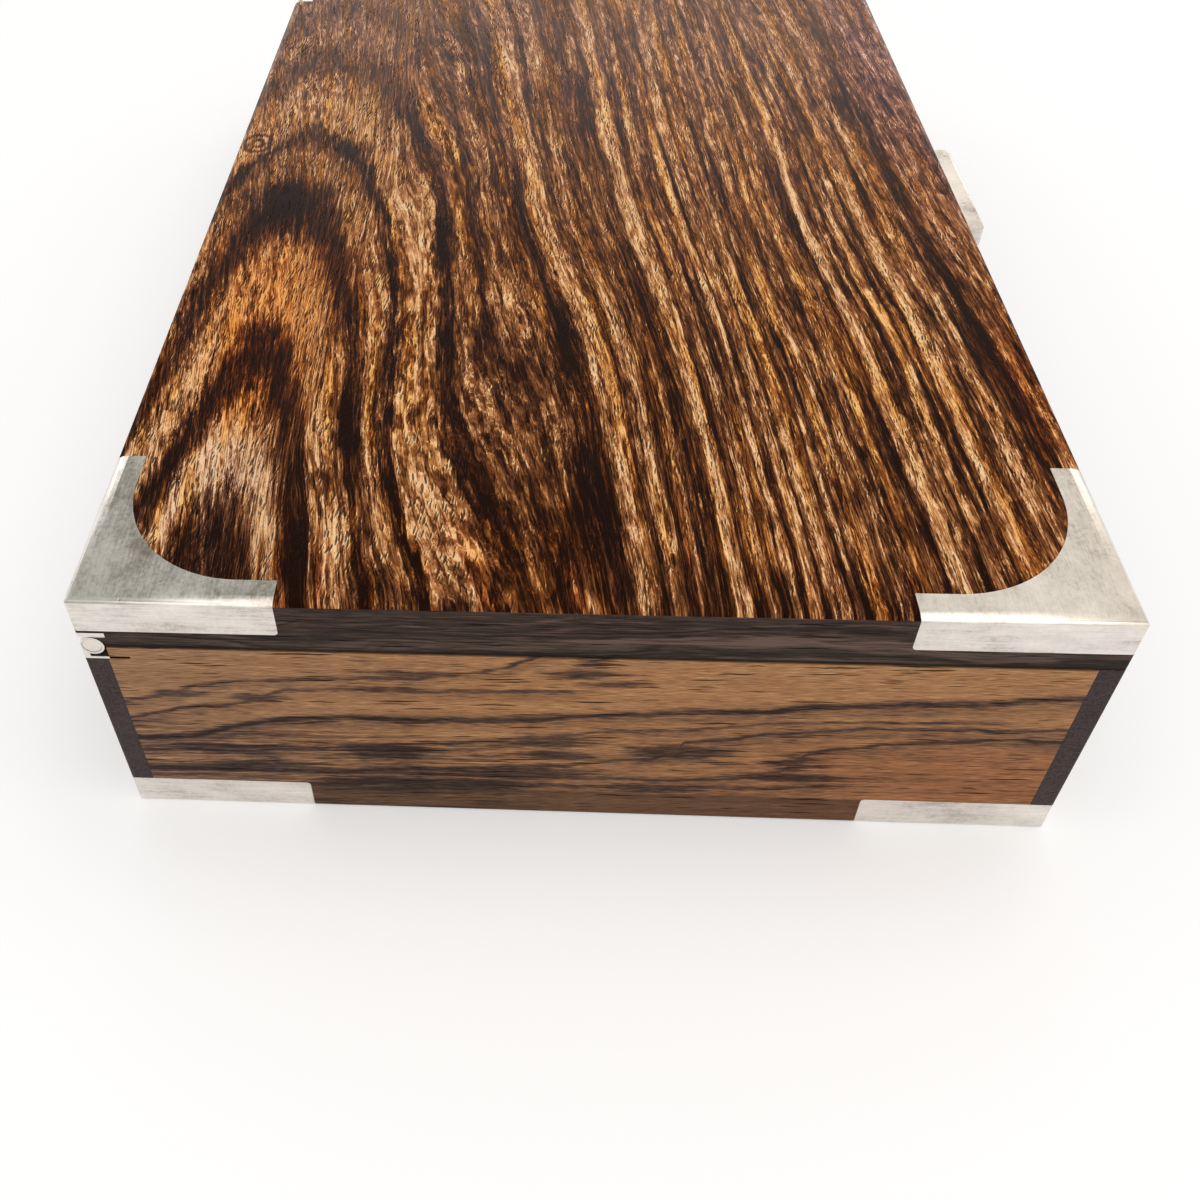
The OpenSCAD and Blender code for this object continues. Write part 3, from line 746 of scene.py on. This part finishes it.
class TABLEBOX_OT_end_panels(bpy.types.Operator):
    """Finishes the golden panels at the short ends"""

    bl_idname = "table_box.end_panels"
    bl_label = "End panels"

    def execute(self, context):
        wood = context.scene.table_box_wood
        ends = (("left_end_panel", "end_wood_left", 1.0, 0.0),
                ("right_end_panel", "end_wood_right", -1.0, 31.0))
        for piece, name, turn, seed in ends:
            dress([piece], end_panel_wood(name, turn, seed, wood.golden), wood.arris)
        return {"FINISHED"}


class TABLEBOX_OT_long_sides(bpy.types.Operator):
    """Finishes the long sides under the tab and under the hinge"""

    bl_idname = "table_box.long_sides"
    bl_label = "Long sides"

    def execute(self, context):
        wood = context.scene.table_box_wood
        material = solid_wood("side_wood", "X", wood.long_sides, seed=15.0, ends=wood.end_grain)
        dress(["front_side", "back_side"], material, wood.arris)
        return {"FINISHED"}


class TABLEBOX_OT_inner_wood(bpy.types.Operator):
    """Finishes the bottom, the lid's core and the panel inside the lid"""

    bl_idname = "table_box.inner_wood"
    bl_label = "Inner wood"

    def execute(self, context):
        wood = context.scene.table_box_wood
        material = solid_wood("plain_wood", "X", wood.plain, dark=0.58, pale=1.45, flame=0.6, seed=22.0,
                              contrast=0.9, pores=0.35)
        dress(["bottom_panel", "lid_core", "lid_inner_panel"], material, wood.arris)
        return {"FINISHED"}


class TABLEBOX_OT_corner_mounts(bpy.types.Operator):
    """Finishes the eight silver corner mounts"""

    bl_idname = "table_box.corner_mounts"
    bl_label = "Corner mounts"

    def execute(self, context):
        names = [f"{part}_mount_{side}_{end}"
                 for part in ("lid", "base") for side in ("front", "back") for end in ("left", "right")]
        silver = context.scene.table_box_silver
        dress(names, brushed_silver("silver_mounts", silver.colour), silver.arris)
        return {"FINISHED"}


class TABLEBOX_OT_hinge(bpy.types.Operator):
    """Finishes the hinge leaves, the pin and the nails"""

    bl_idname = "table_box.hinge"
    bl_label = "Hinge"

    def execute(self, context):
        silver = brushed_silver("silver_hinge", context.scene.table_box_silver.colour, seed=4.0)
        # The hinge's edges are left as the CAD has them.
        pieces = ("hinge_leaf_box", "hinge_leaf_lid", "hinge_pin", "hinge_nails_box", "hinge_nails_lid")
        dress(pieces, silver)
        return {"FINISHED"}


class TABLEBOX_OT_thumb_tab(bpy.types.Operator):
    """Finishes the thumb tab on the lid's front edge"""

    bl_idname = "table_box.thumb_tab"
    bl_label = "Thumb tab"

    def execute(self, context):
        silver = context.scene.table_box_silver
        dress(["thumb_tab"], brushed_silver("silver_tab", silver.colour, seed=9.0), silver.arris)
        return {"FINISHED"}


class TABLEBOX_OT_studio(bpy.types.Operator):
    """Makes the pale floor, the soft lamp, the white background and the camera"""

    bl_idname = "table_box.studio"
    bl_label = "Studio"

    def execute(self, context):
        studio = context.scene.table_box_studio
        make_floor(studio.floor_colour)
        make_world(context.scene, studio.fill)
        make_lamp(studio.key_power, studio.key_size)
        make_camera(context.scene, studio.lens)
        context.scene.view_settings.view_transform = "Standard"
        return {"FINISHED"}


# The floor: half its width and its drop below the box in metres, and the strength of its own light.
FLOOR_REACH = 6.0
FLOOR_DROP = 0.02 * MM
FLOOR_GLOW = 0.22
WHITE = (1.0, 1.0, 1.0)

# The background that the camera and reflections see, from the horizon up: height and shade.
SKY_SHADES = ((0.0, 1.0), (0.25, 0.95), (0.66, (0.44, 0.47, 0.43)), (0.86, (0.42, 0.44, 0.41)), (1.0, 0.62))
# A broad window on the tab's side, and a bright strip beyond the far end that only reflections show.
WINDOW_COLOUR = (0.90, 0.84, 0.75)
WINDOW_SHARE = 0.85
STRIP_GAIN = 1.8
# The even light from all round is a little warm.
FILL_COLOUR = (1.0, 0.99, 0.98)

# The lamp: its place in metres, its second side as a share of the first, and its colour.
LAMP_PLACE = (-0.20, -0.15, 1.30)
LAMP_SHARE = 0.8
LAMP_COLOUR = (1.0, 0.985, 0.96)

# The camera, matched to the corners of the box: its place in millimetres, its turn, tilt and roll in
# degrees, its shift as a share of the frame, the sensor's width in millimetres, and the nearest and the
# farthest distance that it sees in metres.
CAMERA_PLACE = (-197.8, 5.8, 159.1)
CAMERA_TURN = 4.98
CAMERA_TILT = 42.34
CAMERA_ROLL = -2.65
CAMERA_SHIFT = (0.111, -0.133)
SENSOR_WIDTH = 36.0
CAMERA_RANGE = (0.01, 50.0)


def make_floor(colour):
    """A pale, flat, square floor just under the box, a little brighter to the camera and in reflections."""
    signs = ((-1, -1), (1, -1), (1, 1), (-1, 1))
    corners = [(x * FLOOR_REACH, y * FLOOR_REACH, -FLOOR_DROP) for x, y in signs]
    mesh = bpy.data.meshes.new("floor")
    mesh.from_pydata(corners, [], [(0, 1, 2, 3)])
    floor = bpy.data.objects.new("floor", mesh)
    bpy.context.scene.collection.objects.link(floor)
    material = bpy.data.materials.new("floor_paint")
    tree = Tree(material)
    paint = tree.node("ShaderNodeBsdfDiffuse", None, {"Color": tuple(colour)})["BSDF"]
    rays = tree.node("ShaderNodeLightPath")
    seen = rays["Is Camera Ray"].most(rays["Is Glossy Ray"])
    glow = tree.node("ShaderNodeEmission", None, {"Color": WHITE, "Strength": seen * FLOOR_GLOW})["Emission"]
    both = tree.node("ShaderNodeAddShader", None, {0: paint, 1: glow})[0]
    tree.node("ShaderNodeOutputMaterial", None, {"Surface": both})
    mesh.materials.append(material)


def make_world(scene, fill):
    """Soft even light from all round; the camera and reflections see a white horizon that greys overhead."""
    world = bpy.data.worlds.new("studio")
    scene.world = world
    tree = Tree(world)
    rays = tree.node("ShaderNodeLightPath")
    seen = rays["Is Camera Ray"].most(rays["Is Glossy Ray"]).most(rays["Is Transmission Ray"])
    point = tree.node("ShaderNodeSeparateXYZ", None, {0: tree.node("ShaderNodeTexCoord")["Generated"]})
    window = (-point["Y"]).step(-0.10, 0.50) * point["Z"].step(0.0, 0.2)
    sky = tree.mix(window * WINDOW_SHARE, tree.ramp(point["Z"], SKY_SHADES, "EASE"), WINDOW_COLOUR)
    strip = point["X"].step(0.55, 0.90) * point["Z"].step(0.46, 0.34) * rays["Is Glossy Ray"]
    show = tree.node("ShaderNodeBackground", None, {"Color": sky, "Strength": 1.0 + STRIP_GAIN * strip})[0]
    light = tree.node("ShaderNodeBackground", None, {"Color": FILL_COLOUR, "Strength": fill})[0]
    both = tree.node("ShaderNodeMixShader", None, {0: seen, 1: light, 2: show})[0]
    tree.node("ShaderNodeOutputWorld", None, {"Surface": both})


def make_lamp(power, width):
    """One large soft lamp high over the box, aimed at its middle."""
    lamp = bpy.data.lights.new("key_lamp", "AREA")
    lamp.shape = "RECTANGLE"
    lamp.size = width
    lamp.size_y = width * LAMP_SHARE
    lamp.energy = power
    lamp.color = LAMP_COLOUR
    obj = bpy.data.objects.new("key_lamp", lamp)
    obj.location = LAMP_PLACE
    obj.rotation_euler = (-obj.location).to_track_quat("-Z", "Y").to_euler()
    bpy.context.scene.collection.objects.link(obj)


def make_camera(scene, lens):
    """The photograph's viewpoint: close over the left end, looking down along the box, turned a little."""
    data = bpy.data.cameras.new("camera")
    data.sensor_width = SENSOR_WIDTH
    data.lens = lens
    data.shift_x, data.shift_y = CAMERA_SHIFT
    data.clip_start, data.clip_end = CAMERA_RANGE
    camera = bpy.data.objects.new("camera", data)
    scene.collection.objects.link(camera)
    turn, tilt, roll = (math.radians(angle) for angle in (CAMERA_TURN, CAMERA_TILT, CAMERA_ROLL))
    ahead = Vector((math.cos(tilt) * math.cos(turn), math.cos(tilt) * math.sin(turn), -math.sin(tilt)))
    right = ahead.cross(Vector((0.0, 0.0, 1.0))).normalized()
    up = right.cross(ahead)
    rolled_right = right * math.cos(roll) + up * math.sin(roll)
    rolled_up = up * math.cos(roll) - right * math.sin(roll)
    turned = Matrix((rolled_right, rolled_up, -ahead)).transposed().to_4x4()
    camera.matrix_world = Matrix.Translation(Vector(CAMERA_PLACE) * MM) @ turned
    scene.camera = camera


class TABLEBOX_PT_panel(bpy.types.Panel):
    """Lists the steps that dress the table box"""

    bl_idname = "TABLEBOX_PT_panel"
    bl_label = "Table box"
    bl_space_type = "VIEW_3D"
    bl_region_type = "UI"
    bl_category = "Table box"

    def draw(self, context):
        column = self.layout.column()
        for operator in OPERATORS:
            column.operator(operator.bl_idname)
        for name in GROUPS:
            group = getattr(context.scene, name)
            for setting in group.__annotations__:
                column.prop(group, setting)


GROUPS = {"table_box_wood": TableBoxWood, "table_box_silver": TableBoxSilver,
          "table_box_studio": TableBoxStudio}
OPERATORS = (TABLEBOX_OT_studio, TABLEBOX_OT_lid_top, TABLEBOX_OT_lid_edges, TABLEBOX_OT_end_panels,
             TABLEBOX_OT_long_sides, TABLEBOX_OT_inner_wood, TABLEBOX_OT_corner_mounts, TABLEBOX_OT_hinge,
             TABLEBOX_OT_thumb_tab)


def register():
    """Makes the settings, operators and panel known to Blender."""
    for name, group in GROUPS.items():
        bpy.utils.register_class(group)
        setattr(bpy.types.Scene, name, bpy.props.PointerProperty(type=group))
    for item in (*OPERATORS, TABLEBOX_PT_panel):
        bpy.utils.register_class(item)


def unregister():
    """Takes them away again."""
    for item in reversed((*OPERATORS, TABLEBOX_PT_panel)):
        bpy.utils.unregister_class(item)
    for name, group in GROUPS.items():
        delattr(bpy.types.Scene, name)
        bpy.utils.unregister_class(group)


def main():
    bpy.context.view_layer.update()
    register()
    bpy.ops.table_box.studio()
    bpy.ops.table_box.lid_top()
    bpy.ops.table_box.lid_edges()
    bpy.ops.table_box.end_panels()
    bpy.ops.table_box.long_sides()
    bpy.ops.table_box.inner_wood()
    bpy.ops.table_box.corner_mounts()
    bpy.ops.table_box.hinge()
    bpy.ops.table_box.thumb_tab()


if __name__ == "__main__":
    main()
